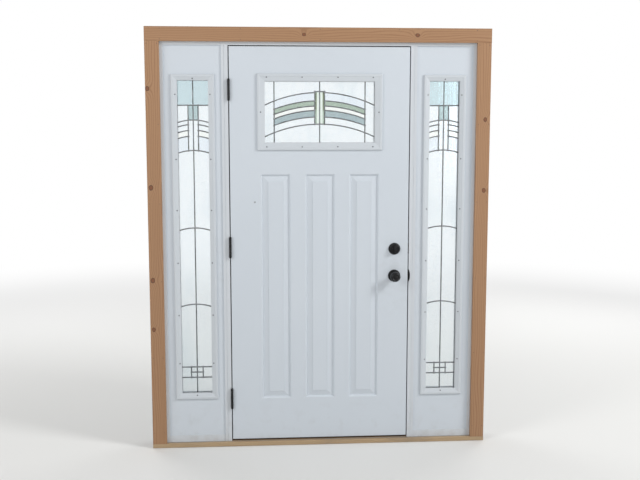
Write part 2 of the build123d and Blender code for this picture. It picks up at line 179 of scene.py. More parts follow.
lamp_places = {
    "room_left": ((-4.6, -3.6, 3.6), 2.4, 120),
    "room_right": ((5.0, -3.0, 4.4), 1.8, 250),
    "street_left": ((-2.6, 3.4, 2.8), 2.6, 60),
    "street_right": ((2.8, 3.4, 2.4), 2.6, 60),
}
for name, (place, size, power) in lamp_places.items():
    lamp_data = bpy.data.lights.new(name, "AREA")
    lamp_data.size = size
    lamp_data.energy = power
    lamp = bpy.data.objects.new(name, lamp_data)
    lamp.location = place
    lamp.rotation_euler = facing_unit(place)
    bpy.context.scene.collection.objects.link(lamp)


# The sill is one aluminium extrusion, left as it comes from the mill, with die lines along it and
# the dull film that handling and rain leave. It lies on the subfloor and the frame stands on it.
def coat(material, *names):
    """Gives CAD pieces a material in place of their plain one."""
    for name in names:
        for slot in nodes[name].material_slots:
            slot.material = material


def stretched(place, x, y, z):
    """A place whose pattern is this many times as fine along X, Y and Z."""
    return place.node("VectorMath", {"operation": "MULTIPLY"}, {0: place, 1: (x, y, z)})


def noise(place, scale, detail=4.0):
    """Soft noise from 0 to 1, whose patches are about one over the scale across."""
    return place.node("TexNoise", {}, {"Vector": place, "Scale": scale, "Detail": detail})


def streaks(place, x, y, z, detail=4.0):
    """Noise whose patches are about one over these numbers across, along X, Y and Z."""
    return noise(stretched(place, x, y, z), 1.0, detail)


def blend(mask, low, high):
    """Two colours mixed by a mask."""
    return mask.node("Mix", {"data_type": "RGBA"}, {0: mask, 6: low, 7: high}, 2)


def relief(height, strength, distance):
    """A bump that raises the surface by up to the distance, in metres, and how much of it shows."""
    return height.node("Bump", {}, {"Height": height, "Strength": strength, "Distance": distance})


sill_metal, shader, place = new_finish("mill_aluminium")
die_lines = streaks(place, 1.5, 260.0, 260.0, 3.0)
film = step_between(noise(place, 9.0), 0.38, 0.78)
feed(shader, {
    "Base Color": blend(film, tone(172, 174, 176), tone(158, 159, 158)),
    "Metallic": 1.0,
    "Roughness": 0.36 + 0.14 * die_lines + 0.08 * film,
    "Normal": relief(die_lines, 0.25, 0.0004),
})
coat(sill_metal, "sill")


# The threshold cap under the door and the strip along its foot are plain softwood under a clear
# finish, sawn along the grain and walked on, so the finish is scuffed dull and grey in patches.
def parts_of(place, axes="XYZ"):
    """The X, Y and Z of a place, or only those that are named."""
    return [place.node("SeparateXYZ", {}, {0: place}, axis) for axis in axes]


def plank(name, pale, dark, walked):
    """Straight grained wood along X. Walked is how far feet have scuffed it, from 0 to 1."""
    material, shader, place = new_finish(name)
    y, z = parts_of(place, "YZ")
    warp = streaks(place, 2.0, 30.0, 30.0)
    rings = 0.5 + 0.5 * ((y + z) * 900.0 + warp * 26.0).maths("SINE")
    pores = step_between(streaks(place, 14.0, 900.0, 900.0, 2.0), 0.56, 0.68)
    scuffs = step_between(streaks(place, 3.0, 12.0, 12.0, 6.0), 0.5, 0.75) * walked
    grain = blend(rings * 0.55 + warp * 0.3, pale, dark)
    feed(shader, {
        "Base Color": blend(scuffs * 0.6, blend(pores * 0.3, grain, dark), tone(120, 112, 102)),
        "Roughness": 0.42 + 0.25 * scuffs + 0.1 * pores,
        "Normal": relief(rings * 0.4 - pores, 0.3, 0.0003),
    })
    return material


coat(plank("cap_wood", tone(150, 118, 84), tone(112, 82, 54), 0.7), "threshold_cap")
coat(plank("floor_strip_wood", tone(186, 162, 130), tone(150, 124, 92), 0.9), "floor_strip")


# Jambs, mullions, door stops and the strips under the sidelights are pine, primed and brushed white
# at the mill. The brush marks follow each piece's length, dust settles near the floor, and the two
# pockets cut for the bolts after painting are bare wood inside.
frame_white = tone(206, 211, 216)
frame_grime = tone(190, 195, 201)
pocket_reach = (0.4605, 0.4820)
pocket_half_width = 0.0093
pocket_half_height = 0.0143
dust_heights = (0.02, 0.32)


def brushed_paint(name, marks, pockets=()):
    """White paint brushed along a piece; marks are how fine the strokes are along X, Y and Z. A pocket
    is the Y and Z of its middle."""
    material, shader, place = new_finish(name)
    strokes = streaks(place, *marks, 3.0)
    cloud = noise(place, 2.6, 2.0)
    x, y, z = parts_of(place)
    settled = fading(z, *dust_heights) * step_between(noise(place, 24.0), 0.4, 0.7)
    shade = blend(cloud * 0.35 + strokes * 0.2, frame_white, frame_grime)
    shade = blend(settled * 0.2, shade, tone(158, 152, 144))
    for middle_y, middle_z in pockets:
        deep = x.maths("GREATER_THAN", pocket_reach[0]) * x.maths("LESS_THAN", pocket_reach[1])
        wide = (y - middle_y).maths("ABSOLUTE").maths("LESS_THAN", pocket_half_width)
        tall = (z - middle_z).maths("ABSOLUTE").maths("LESS_THAN", pocket_half_height)
        shade = blend(deep * wide * tall, shade, tone(146, 116, 84))
    feed(shader, {
        "Base Color": shade,
        "Roughness": 0.36 + 0.12 * strokes + 0.15 * settled,
        "Normal": relief(strokes, 0.22, 0.0004),
    })
    return material


def middle_of(node):
    """The middle of a node's box."""
    low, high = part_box(node)
    return (low + high) / 2


strokes_upright, strokes_level = (260.0, 260.0, 5.0), (5.0, 260.0, 260.0)
upright_paint = brushed_paint("frame_white_upright", strokes_upright)
coat(upright_paint, "outer_jamb_left", "outer_jamb_right", "hinge_mullion")
coat(upright_paint, "door_stop_hinge", "door_stop_latch")
level_paint = brushed_paint("frame_white_level", strokes_level)
coat(level_paint, "head_jamb", "sidelight_base_strip_left", "sidelight_base_strip_right")
bolt_y, latch_z = middle_of("latch_bolt").yz
deadbolt_z = middle_of("deadbolt_bolt").z
bolt_pockets = ((bolt_y, latch_z), (bolt_y, deadbolt_z))
coat(brushed_paint("latch_mullion_white", strokes_upright, bolt_pockets), "latch_mullion")


# The door slab and the panels beside it are pressed steel skins over foam, with a baked white coat:
# a fine even orange peel, hand marks at the height of the lock and a dull band where shoes touch it.
# A small dark scuff shows on the slab, at chest height near its hinges.
hand_reach = (0.03, 0.17)
shoe_heights = (0.05, 0.30)
scuff_depths = (-0.05, -0.04)


def baked_white(name, hand_x, hand_z, scuffs=()):
    """White coil coat on steel, soiled by hands round one place. A scuff is its X, its Z and its
    radius. It marks the room side alone, so it fades out between two depths inside the slab."""
    material, shader, place = new_finish(name)
    x, y, z = parts_of(place)
    peel = noise(place, 620.0, 1.0)
    cloud = noise(place, 1.8, 2.0)
    away = ((x - hand_x) ** 2.0 + ((z - hand_z) * 0.6) ** 2.0) ** 0.5
    hands = fading(away, *hand_reach) * step_between(noise(place, 30.0), 0.38, 0.72)
    shoes = fading(z, *shoe_heights) * step_between(noise(place, 16.0, 6.0), 0.5, 0.74)
    shade = blend(cloud * 0.5, tone(205, 212, 219), tone(192, 200, 209))
    soiled = blend(hands * 0.12, shade, tone(166, 166, 164))
    for scuff_x, scuff_z, radius in scuffs:
        ragged = (noise(place, 180.0) - 0.5) * radius
        off = ((x - scuff_x) ** 2.0 + (z - scuff_z) ** 2.0) ** 0.5 + ragged
        rubbed = fading(off, radius * 0.4, radius) * fading(y, *scuff_depths)
        soiled = blend(rubbed * 0.6, soiled, tone(104, 106, 108))
    feed(shader, {
        "Base Color": blend(shoes * 0.16, soiled, tone(160, 158, 154)),
        "Roughness": 0.33 + 0.1 * cloud + 0.18 * hands + 0.2 * shoes,
        "Normal": relief(peel, 0.12, 0.0003),
    })
    return material


lock_x = middle_of("knob_inside").x
slab_scuffs = [(-0.330, 1.270, 0.007)]
coat(baked_white("door_skin", lock_x, latch_z, slab_scuffs), "door_slab")
push_beside, push_height = 0.5, 0.9
for side, turn in (("left", -1.0), ("right", 1.0)):
    skin = baked_white("sidelight_skin_" + side, turn * push_beside, push_height)
    coat(skin, "sidelight_panel_" + side)


# The rings round the lights are moulded white plastic, a little duller than the skins, with a very
# fine grain from the mould. Screws pull each room side ring to its outer one through the opening;
# their dark heads sit in small raised wells on the ring's inner slope.
trim_plastic, shader, place = new_finish("moulded_white")
mould_grain = noise(place, 1400.0, 1.0)
trim_cloud = noise(place, 4.0, 2.0)
feed(shader, {
    "Base Color": blend(trim_cloud * 0.5, tone(200, 206, 211), tone(189, 195, 202)),
    "Roughness": 0.28 + 0.14 * mould_grain,
    "Normal": relief(mould_grain, 0.15, 0.0002),
})
coat(trim_plastic, *[name for name in nodes if "trim" in name])

dark_zinc, shader, place = new_finish("dark_zinc")
scratches = noise(place, 800.0, 3.0)
feed(shader, {
    "Base Color": blend(scratches, tone(92, 94, 97), tone(62, 64, 67)),
    "Metallic": 0.8,
    "Roughness": 0.4 + 0.2 * scratches,
    "Normal": relief(scratches, 0.3, 0.0002),
})


def take(piece):
    """Makes a piece the only one selected."""
    start_piece()
    piece.select_set(True)
    bpy.context.view_layer.objects.active = piece


def settle(piece):
    """Puts a piece's place into its mesh, with its object at the origin."""
    take(piece)
    bpy.ops.object.transform_apply(location=True, rotation=True, scale=True)
    return piece


def joined(pieces, name):
    """Makes several pieces one."""
    start_piece()
    for piece in pieces:
        piece.select_set(True)
    bpy.context.view_layer.objects.active = pieces[0]
    bpy.ops.object.join()
    whole = bpy.context.object
    whole.name = name
    return settle(whole)


def placed(piece, place, turn=(0, 0, 0)):
    """Turns a piece about its own origin and then puts it in its place."""
    piece.location = place
    piece.rotation_euler = turn
    return settle(piece)


def copied(piece, place, turn=(0, 0, 0)):
    """A copy with its own mesh, put in a place of its own."""
    twin = piece.copy()
    twin.data = piece.data.copy()
    bpy.context.collection.objects.link(twin)
    return placed(twin, place, turn)


def painted(piece, material):
    """Gives a new piece its one material."""
    piece.data.materials.clear()
    piece.data.materials.append(material)
    return piece


def bar(low, high):
    """A straight bar between two corners, to be rounded, or to cut a hole with."""
    start_piece()
    bpy.ops.mesh.primitive_cube_add(size=1, location=(low + high) / 2)
    made = bpy.context.object
    made.scale = high - low
    return settle(made)


merge_reach = 0.00001
turned_crease = math.radians(32)


def close_mesh():
    """Ends edit mode, with doubled points merged and every face outwards."""
    bpy.ops.mesh.select_all(action="SELECT")
    bpy.ops.mesh.remove_doubles(threshold=merge_reach)
    bpy.ops.mesh.normals_make_consistent(inside=False)
    bpy.ops.object.mode_set(mode="OBJECT")


def turned(stations, sides, hollow=False):
    """A piece turned about a line along Y, that faces -Y: a ring drawn out from one station, which is a
    radius and a height above the piece's seat, to the next. A hollow piece ends where it begins."""
    start_piece()
    radius, height = stations[0]
    bpy.ops.mesh.primitive_circle_add(
        vertices=sides, radius=radius, location=(0, -height, 0), rotation=(math.pi / 2, 0, 0))
    made = settle(bpy.context.object)
    bpy.ops.object.mode_set(mode="EDIT")
    bpy.ops.mesh.select_all(action="SELECT")
    if not hollow:
        bpy.ops.mesh.edge_face_add()
    for next_radius, next_height in stations[1:]:
        bpy.ops.mesh.extrude_region_move(TRANSFORM_OT_translate={"value": (0, height - next_height, 0)})
        growth = next_radius / radius
        bpy.ops.transform.resize(value=(growth, 1, growth), center_override=(0, -next_height, 0))
        radius, height = next_radius, next_height
    close_mesh()
    bpy.ops.object.shade_smooth_by_angle(angle=turned_crease)
    return made


def sunk(piece, low, high):
    """Cuts a straight sided hole out of a piece."""
    cutter = bar(low, high)
    take(piece)
    cut = piece.modifiers.new("hole", "BOOLEAN")
    cut.operation = "DIFFERENCE"
    cut.object = cutter
    bpy.ops.object.modifier_apply(modifier="hole")
    bpy.data.objects.remove(cutter)


def screw_head(radius, height, material):
    """A low domed head with a cross sunk in its face, to be copied wherever such a screw goes."""
    head = turned([
        (radius, 0.0), (radius * 0.98, height * 0.4),
        (radius * 0.86, height * 0.8), (radius * 0.62, height),
    ], sides=16)
    arm, half = radius * 0.55, radius * 0.12
    cross_floor = height * 0.35
    for x, z in ((arm, half), (half, arm)):
        sunk(head, Vector((-x, -2 * height, -z)), Vector((x, -cross_floor, z)))
    return painted(head, material)


well_radius = 0.0048
well_bore = 0.0032
well_height = 0.0008
well_root = 0.0010
inner_lip, outer_lip = 0.0004, 0.0005
well = turned([
    (well_bore, -well_root), (well_bore, well_height * 0.6), (well_bore + inner_lip, well_height),
    (well_radius - outer_lip, well_height), (well_radius, well_height * 0.4),
    (well_radius, -well_root), (well_bore, -well_root),
], sides=24, hollow=True)
painted(well, trim_plastic)
screw_height = 0.0005
trim_screw_radius = 0.0031
trim_screw = joined([well, screw_head(trim_screw_radius, screw_height, dark_zinc)], "trim_screw")

# Where the ring's slope runs, inward of the ring's outer edge and out from the skin.
ring_proud = 0.009
slope_start = 0.0155
slope_start_proud = 0.00725
slope_end_proud = 0.0035
slope_end_margin = 0.0035


def screwed(node, body, width, inward, beside, heights):
    """Screws on the slope of a ring of one width: in its head and foot at each distance beside its
    middle, and in both sides at each height. Each stands square on the slope, so far inward of the
    ring's outer edge."""
    low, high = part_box(node)
    middle_x = middle_of(node).x
    steepness = (slope_start_proud - slope_end_proud) / (width - slope_end_margin - slope_start)
    face = low.y + ring_proud
    y = face - slope_start_proud + (inward - slope_start) * steepness
    tilt = math.atan(steepness)
    screws = []
    for distance in beside:
        screws.append(copied(trim_screw, (middle_x + distance, y, low.z + inward), (-tilt, 0, 0)))
        screws.append(copied(trim_screw, (middle_x + distance, y, high.z - inward), (tilt, 0, 0)))
    for height in heights:
        screws.append(copied(trim_screw, (low.x + inward, y, height), (0, 0, tilt)))
        screws.append(copied(trim_screw, (high.x - inward, y, height), (0, 0, -tilt)))
    row = joined(screws, node + "_screws")
    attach(row, body)


door_ring_width, door_screws_inward = 0.039, 0.018
door_screws_beside, door_screw_heights = (-0.268, -0.090, 0.090, 0.268), (1.722,)
ring = "door_trim_inside"
screwed(ring, "door", door_ring_width, door_screws_inward, door_screws_beside, door_screw_heights)
side_ring_width, side_screws_inward = 0.031, 0.0215
side_screws_beside, side_screw_heights = (0.0,), (0.440, 0.692, 0.962, 1.230, 1.487, 1.809)
for side in ("left", "right"):
    ring = "sidelight_trim_inside_" + side
    screwed(ring, "frame", side_ring_width, side_screws_inward, side_screws_beside, side_screw_heights)
bpy.data.objects.remove(trim_screw)


# Each light is a sealed unit: two clear panes with a dull aluminium spacer round the edge, and the
# leaded panel between them. The spacer is roll formed, with a row of small slots along its face.
pane_glass, shader, place = new_finish("clear_pane")
wiped = step_between(streaks(place, 8.0, 8.0, 3.0, 6.0), 0.5, 0.8)
feed(shader, {
    "Base Color": blend(wiped, tone(254, 255, 255), tone(248, 251, 252)),
    "Roughness": 0.015 + 0.03 * wiped,
    "Transmission Weight": 1.0,
    "IOR": 1.5,
})
coat(pane_glass, "door_panes", "sidelight_panes_left", "sidelight_panes_right")

spacer_metal, shader, place = new_finish("spacer_aluminium")
x, z = parts_of(place, "XZ")
slots = step_between(((x + z) * 700.0).maths("SINE"), 0.7, 0.9)
roll = streaks(place, 90.0, 600.0, 90.0, 2.0)
feed(shader, {
    "Base Color": blend(slots, tone(150, 152, 154), tone(92, 94, 96)),
    "Metallic": 0.9,
    "Roughness": 0.42 + 0.15 * roll,
    "Normal": relief(roll - slots, 0.3, 0.0003),
})
coat(spacer_metal, "door_spacer", "sidelight_spacer_left", "sidelight_spacer_right")


# The textured glass of the leaded panels. Its pieces differ: pale seedy glass in most, a bright clear
# band, and grey-green bands that follow the arches, beside a column of narrow olive and clear strips.
# The arch through each point tells the bands apart, so that they keep to the lead.
sheet_margin = 0.002
tint_edge = 0.001


def half_width(node):
    """Half of a node's width."""
    low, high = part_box(node)
    return (high.x - low.x) / 2


def leaded_glass(name, node, radius, pieces):
    """Gives one light's glass its pieces. A piece is the shape of its head, arched or level, how far
    beside the middle it begins and ends, how far its head and foot drop below the light's head, and
    its tint."""
    material, shader, place = new_finish(name)
    low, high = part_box(node)
    x, z = parts_of(place, "XZ")
    across = x - (low.x + high.x) / 2
    level = high.z - sheet_margin - z
    drops = {"level": level, "arched": level - radius + (radius ** 2 - across ** 2.0) ** 0.5}
    side = across.maths("ABSOLUTE")
    seeds = noise(stretched(place, 1.0, 1.0, 0.7), 240.0, 2.0)
    reeds = streaks(place, 210.0, 210.0, 3.0, 1.0)
    ripple = noise(place, 70.0, 2.0)
    tint = blend(ripple, tone(250, 253, 255), tone(240, 247, 252))
    for head, begin, end, first, last, colour in pieces:
        beside = step_between(side, begin - tint_edge, begin) * fading(side, end, end + tint_edge)
        below = step_between(drops[head], first, first + tint_edge)
        above = fading(drops[head], last, last + tint_edge)
        tint = blend(beside * below * above, tint, colour)
    feed(shader, {
        "Base Color": tint,
        "Roughness": 0.18 + 0.12 * seeds,
        "Transmission Weight": 1.0,
        "IOR": 1.45,
        "Normal": relief(seeds * 0.5 + ripple * 0.4 + reeds * 0.6, 0.6, 0.0014),
    })
    coat(material, node)


grey_green = tone(170, 188, 173)
smoke_green = tone(168, 186, 191)
olive = tone(116, 132, 100)
pale_blue = tone(238, 245, 252)
sea_blue = tone(202, 222, 228)
deep_blue = tone(182, 203, 206)
pale_green = tone(236, 246, 238)
bright_clear = tone(252, 254, 252)

# An arch's drop is how far its crest stands below the light's head.
fan_radius = 0.640
fan_drops = (0.0535, 0.0945, 0.1205, 0.1425, 0.1755, 0.2115)
fan_border = 0.230
heart_half = 0.025
heart_strip = 0.0155
heart_top_drop = 0.046
door_glass = [
    ("arched", heart_half, fan_border, fan_drops[0], fan_drops[1], pale_blue),
    ("arched", heart_half, fan_border, fan_drops[1], fan_drops[2], grey_green),
    ("arched", heart_half, fan_border, fan_drops[2], fan_drops[3], bright_clear),
    ("arched", heart_half, fan_border, fan_drops[3], fan_drops[4], smoke_green),
    ("level", 0.0, heart_strip, heart_top_drop, fan_drops[5], pale_green),
    ("level", heart_strip, heart_half, heart_top_drop, fan_drops[3], olive),
    ("level", heart_strip, heart_half, fan_drops[3], fan_drops[5], grey_green),
]
leaded_glass("door_art_glass", "door_leaded_glass", fan_radius, door_glass)
arch_radius = 0.240
whole_arches = (0.195, 0.347, 0.739, 1.133)
broken_arches = (0.217, 0.246, 0.275)
cross_drop = 0.122
sheet_half = half_width("sidelight_leaded_glass_left")
sidelight_glass = [
    ("level", 0.0, sheet_half, 0.0, cross_drop, sea_blue),
    ("level", 0.0, heart_half, cross_drop, whole_arches[0], deep_blue),
    ("arched", heart_half, sheet_half, broken_arches[1], broken_arches[2], bright_clear),
    ("arched", heart_half, sheet_half, broken_arches[2], whole_arches[1], pale_blue),
]
for side in ("left", "right"):
    node = "sidelight_leaded_glass_" + side
    leaded_glass("sidelight_art_glass_" + side, node, arch_radius, sidelight_glass)


# The lead came holds the pieces of glass. It is drawn lead strip with rounded faces, bent to the
# arches, cut to length and soldered wherever two strips meet; the solder is a flat bright drop.
lead_metal, shader, place = new_finish("drawn_lead")
draw_marks = noise(place, 220.0, 3.0)
patina = step_between(noise(place, 46.0, 5.0), 0.4, 0.7)
feed(shader, {
    "Base Color": blend(patina, tone(116, 122, 126), tone(84, 90, 92)),
    "Metallic": 0.75,
    "Roughness": 0.42 + 0.2 * patina,
    "Normal": relief(draw_marks, 0.3, 0.0003),
})
solder_metal, shader, place = new_finish("solder")
puddle = noise(place, 300.0, 2.0)
feed(shader, {
    "Base Color": blend(puddle, tone(142, 146, 148), tone(104, 109, 112)),
    "Metallic": 0.85,
    "Roughness": 0.3 + 0.2 * puddle,
    "Normal": relief(puddle, 0.35, 0.0004),
})

came_width = 0.006
came_depth = 0.006
came_round = 0.0018
came_half = came_width / 2
crease = math.radians(30)


def rounded(piece, width, segments=2):
    """Bevels the sharp edges and smooths the rest."""
    take(piece)
    bevel = piece.modifiers.new("edges", "BEVEL")
    bevel.width = width
    bevel.segments = segments
    bevel.limit_method = "ANGLE"
    bevel.angle_limit = crease
    bpy.ops.object.modifier_apply(modifier="edges")
    bpy.ops.object.shade_smooth_by_angle(angle=crease)
    return piece


arch_step = 0.05
fewest_steps = 4


def came_arch(middle, crest, radius, first, last):
    """A length of came bent about the upright line at middle, from one distance beside it to the
    other, in short steps of about the same angle."""
    start_piece()
    begin, end = math.asin(first / radius), math.asin(last / radius)
    centre = Vector((middle.x, middle.y, crest - radius))
    at = centre + Vector((radius * math.sin(begin), 0, radius * math.cos(begin)))
    bpy.ops.mesh.primitive_plane_add(size=1, location=at, rotation=(0, begin - math.pi / 2, 0))
    made = bpy.context.object
    made.scale = (came_width, came_depth, 1)
    settle(made)
    bpy.ops.object.mode_set(mode="EDIT")
    bpy.ops.mesh.select_all(action="SELECT")
    steps = max(fewest_steps, round((end - begin) / arch_step))
    bpy.ops.mesh.spin(steps=steps, angle=begin - end, center=centre, axis=(0, 1, 0))
    close_mesh()
    return made


def arch_height(crest, radius, beside):
    """How high an arch is at a distance beside its middle."""
    return crest - radius + math.sqrt(radius ** 2 - beside ** 2)


solder_drop = turned([
    (0.0052, -0.0004), (0.0051, 0.0002), (0.0044, 0.0008), (0.0030, 0.0012), (0.0012, 0.0014),
], sides=14)
half_turn = (0, 0, math.pi)


def solder(places, front, back, name):
    """Flat drops of solder on both faces of the lead."""
    drops = []
    for x, z in places:
        drops.append(copied(solder_drop, (x, front, z)))
        drops.append(copied(solder_drop, (x, back, z), half_turn))
    return joined(drops, name)


def crossed(uprights, first, last, heights):
    """Where a strip that runs from first to last beside the middle line crosses the uprights. The
    heights are its own at each of them."""
    found = []
    for (beside, foot, head), height in zip(uprights, heights):
        across = first - came_half <= beside <= last + came_half
        if across and foot - came_half <= height <= head:
            found.append((beside, height))
    return found


def came_of(node, name, body, radius, uprights, levels, arches):
    """All the lead of one light, and the solder where strips meet.

    Uprights are (beside, foot, head), levels are (first, last, height) and arches are
    (crest, first, last), with distances beside the light's middle line. No upright runs past the
    sheet of glass."""
    sheet_low, sheet_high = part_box(node)
    middle = middle_of(node)
    front, back = middle.y - came_depth / 2, middle.y + came_depth / 2
    pieces, meetings = [], []
    for beside, foot, head in uprights:
        low = Vector((middle.x + beside - came_half, front, max(foot, sheet_low.z)))
        high = Vector((middle.x + beside + came_half, back, min(head, sheet_high.z)))
        pieces.append(bar(low, high))
    for first, last, height in levels:
        low = Vector((middle.x + first, front, height - came_half))
        high = Vector((middle.x + last, back, height + came_half))
        pieces.append(bar(low, high))
        meetings += crossed(uprights, first, last, [height] * len(uprights))
    for crest, first, last in arches:
        pieces.append(came_arch(middle, crest, radius, first, last))
        heights = [arch_height(crest, radius, upright[0]) for upright in uprights]
        meetings += crossed(uprights, first, last, heights)
    lead = painted(rounded(joined(pieces, name), came_round), lead_metal)
    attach(lead, body)
    places = {(round(middle.x + beside, 5), round(height, 5)) for beside, height in meetings}
    drops = painted(solder(sorted(places), front, back, name + "_solder"), solder_metal)
    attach(drops, body)


low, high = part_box("door_leaded_glass")
light_head = high.z - sheet_margin
edge = half_width("door_leaded_glass")
heart_foot = light_head - fan_drops[-1] - came_half
uprights = [(0.0, low.z, high.z), (-fan_border, low.z, high.z), (fan_border, low.z, high.z)]
uprights += [(turn * heart_half, heart_foot, light_head - heart_top_drop) for turn in (-1, 1)]
levels = [(-heart_half, heart_half, light_head - heart_top_drop - came_half)]
levels += [(-heart_half, heart_half, light_head - fan_drops[-1])]
arches = []
for drop in fan_drops:
    reach = edge if drop in (fan_drops[0], fan_drops[-1]) else fan_border
    arches += [(light_head - drop, -reach, -heart_half), (light_head - drop, heart_half, reach)]
came_of("door_leaded_glass", "door_lead", "door", fan_radius, uprights, levels, arches)

base_block_half = 0.030
base_rises = (0.079, 0.134)
for side in ("left", "right"):
    node = "sidelight_leaded_glass_" + side
    low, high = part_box(node)
    light_head, light_foot = high.z - sheet_margin, low.z + sheet_margin
    edge = half_width(node)
    heart_top = light_head - cross_drop + came_half
    heart_foot = light_head - whole_arches[1] - came_half
    uprights = [(0.0, low.z, high.z)]
    uprights += [(turn * heart_half, heart_foot, heart_top) for turn in (-1, 1)]
    block_low, block_high = (light_foot + rise for rise in base_rises)
    uprights += [(turn * base_block_half, block_low, block_high) for turn in (-1, 1)]
    levels = [(-edge, edge, height) for height in (light_head - cross_drop, block_low, block_high)]
    levels += [(-base_block_half, base_block_half, (block_low + block_high) / 2)]
    arches = [(light_head - drop, -edge, edge) for drop in whole_arches]
    for drop in broken_arches:
        arches += [(light_head - drop, -edge, -heart_half), (light_head - drop, heart_half, edge)]
    came_of(node, "sidelight_lead_" + side, "frame", arch_radius, uprights, levels, arches)
bpy.data.objects.remove(solder_drop)


# Hinges, strikes and faceplates are steel with a satin black coat, which wears to a dull brown-grey
# where hands and the bolt rub it. Each leaf has four screws and each plate two, with low heads that
# stand just proud of the metal, and a hinge's pin ends in a button at each end of its barrel.
black_coat, shader, place = new_finish("satin_black")
spray = noise(place, 900.0, 2.0)
rubbed = step_between(noise(place, 60.0, 5.0), 0.55, 0.78)
feed(shader, {
    "Base Color": blend(rubbed, tone(17, 18, 21), tone(40, 39, 38)),
    "Metallic": 0.15,
    "Specular IOR Level": 0.35,
    "Roughness": 0.3 + 0.12 * spray + 0.1 * rubbed,
    "Normal": relief(spray, 0.12, 0.0002),
})
coat(black_coat, "hinge_leaves_frame", "hinge_leaves_door", "latch_strike", "deadbolt_strike")
coat(black_coat, "latch_faceplate", "deadbolt_faceplate")

facing_left, facing_right = -math.pi / 2, math.pi / 2
black_screw_radius = 0.0039
black_screw = screw_head(black_screw_radius, screw_height, black_coat)


def screw_row(name, body, x, facing, places):
    """Screws in one upright face, which looks along X, at each Y and Z."""
    row = joined([copied(black_screw, (x, y, z), (0, 0, facing)) for y, z in places], name)
    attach(row, body)


hinge_heights = (1.833, 1.041, 0.251)
# Each leaf screw has its Y, and its rise above the middle of its hinge.
leaf_screws = ((-0.047, 0.039), (-0.033, 0.017), (-0.033, -0.017), (-0.047, -0.039))
leaf_places = [(y, height + rise) for height in hinge_heights for y, rise in leaf_screws]
slab_low, slab_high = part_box("door_slab")
door_leaf_x, frame_leaf_x = slab_low.x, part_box("hinge_mullion")[1].x
screw_row("hinge_screws_door", "door", door_leaf_x, facing_left, leaf_places)
screw_row("hinge_screws_frame", "frame", frame_leaf_x, facing_right, leaf_places)

plate_rise = 0.0215
plate_places = [(bolt_y, z + turn * plate_rise) for z in (latch_z, deadbolt_z) for turn in (-1, 1)]
faceplate_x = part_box("latch_faceplate")[1].x
screw_row("faceplate_screws", "door", faceplate_x, facing_right, plate_places)
strike_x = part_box("deadbolt_strike")[0].x
screw_row("strike_screws", "frame", strike_x, facing_left, plate_places)
bpy.data.objects.remove(black_screw)

barrel_length = 0.102
pin_x, pin_y = (door_leaf_x + frame_leaf_x) / 2, -0.065
pin_button = painted(turned([
    (0.0042, -0.0004), (0.0042, 0.0006), (0.0050, 0.0010), (0.0055, 0.0019), (0.0052, 0.0029),
    (0.0038, 0.0037), (0.0014, 0.0040),
], sides=24), black_coat)
buttons = []
for height in hinge_heights:
    for turn in (-1, 1):
        at = (pin_x, pin_y, height + turn * barrel_length / 2)
        buttons.append(copied(pin_button, at, (-turn * math.pi / 2, 0, 0)))
pin_tips = joined(buttons, "hinge_pin_buttons")
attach(pin_tips, "frame")
bpy.data.objects.remove(pin_button)


# The lock set is cast zinc with the same satin black coat. Each knob is turned with a dish and a
# button in its face, and stands on a round rose; the deadbolt has a tapered rose with a flat turn
# piece on the room side, and a collar with a keyed plug on the street side. The bolts are steel.
def lock_piece(piece, name, body, stands_for):
    """Names and paints a finished piece of the lock set, hangs it on its body and hides the plain
    solid that it stands for."""
    piece.name = name
    painted(piece, black_coat)
    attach(piece, body)
    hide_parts(stands_for)


millimetre = 0.001


def stations_of(*pairs):
    """The stations of a turned piece, from radii and heights in millimetres."""
    return [(radius * millimetre, height * millimetre) for radius, height in pairs]


room_side, street_side = slab_low.y, slab_high.y


def lock_pair(piece, name, body, stands_for):
    """The same piece on both faces of the slab at the latch, the street side one turned round."""
    outer = copied(piece, (lock_x, street_side, latch_z), half_turn)
    lock_piece(outer, name + "_street_side", body, stands_for + "_outside")
    inner = placed(piece, (lock_x, room_side, latch_z))
    lock_piece(inner, name + "_room_side", body, stands_for + "_inside")


knob = turned(stations_of(
    (10.4, 1.0), (10.4, 20.5), (11.2, 23.5), (13.0, 27.6), (17.0, 30.6), (21.6, 33.5), (24.4, 36.0),
    (25.7, 39.0), (26.0, 42.5), (25.9, 46.5), (25.3, 50.0), (24.0, 53.6), (22.2, 57.2), (20.4, 59.9),
    (18.9, 61.3), (17.6, 61.9), (16.9, 61.3), (15.6, 59.8), (13.0, 58.9), (8.6, 58.7), (7.4, 59.2),
    (6.9, 60.2), (6.5, 61.3), (5.6, 61.8), (3.0, 62.0),
), sides=64)
lock_pair(knob, "knob", "knob", "knob")

rose = turned(stations_of(
    (12.0, 0.0), (31.9, 0.0), (31.2, 1.2), (30.2, 3.0), (29.0, 4.9), (28.0, 6.2), (26.6, 6.9),
    (25.2, 6.9), (24.5, 6.3), (22.6, 6.3), (21.6, 7.0), (13.6, 7.0), (12.5, 6.6), (12.0, 5.8),
    (12.0, 0.0),
), sides=64, hollow=True)
lock_pair(rose, "rose", "door", "knob_rose")

deadbolt_rose = turned(stations_of(
    (6.0, 0.0), (31.0, 0.0), (30.4, 1.0), (29.4, 3.2), (28.4, 5.4), (27.5, 7.4), (26.5, 9.2),
    (25.0, 10.5), (23.4, 11.0), (20.6, 11.0), (19.6, 10.2), (18.6, 10.2), (17.6, 11.0), (7.2, 11.0),
    (6.2, 10.6), (6.0, 10.0), (6.0, 0.0),
), sides=64, hollow=True)
placed(deadbolt_rose, (lock_x, room_side, deadbolt_z))
lock_piece(deadbolt_rose, "deadbolt_rose", "door", "deadbolt_rose_inside")

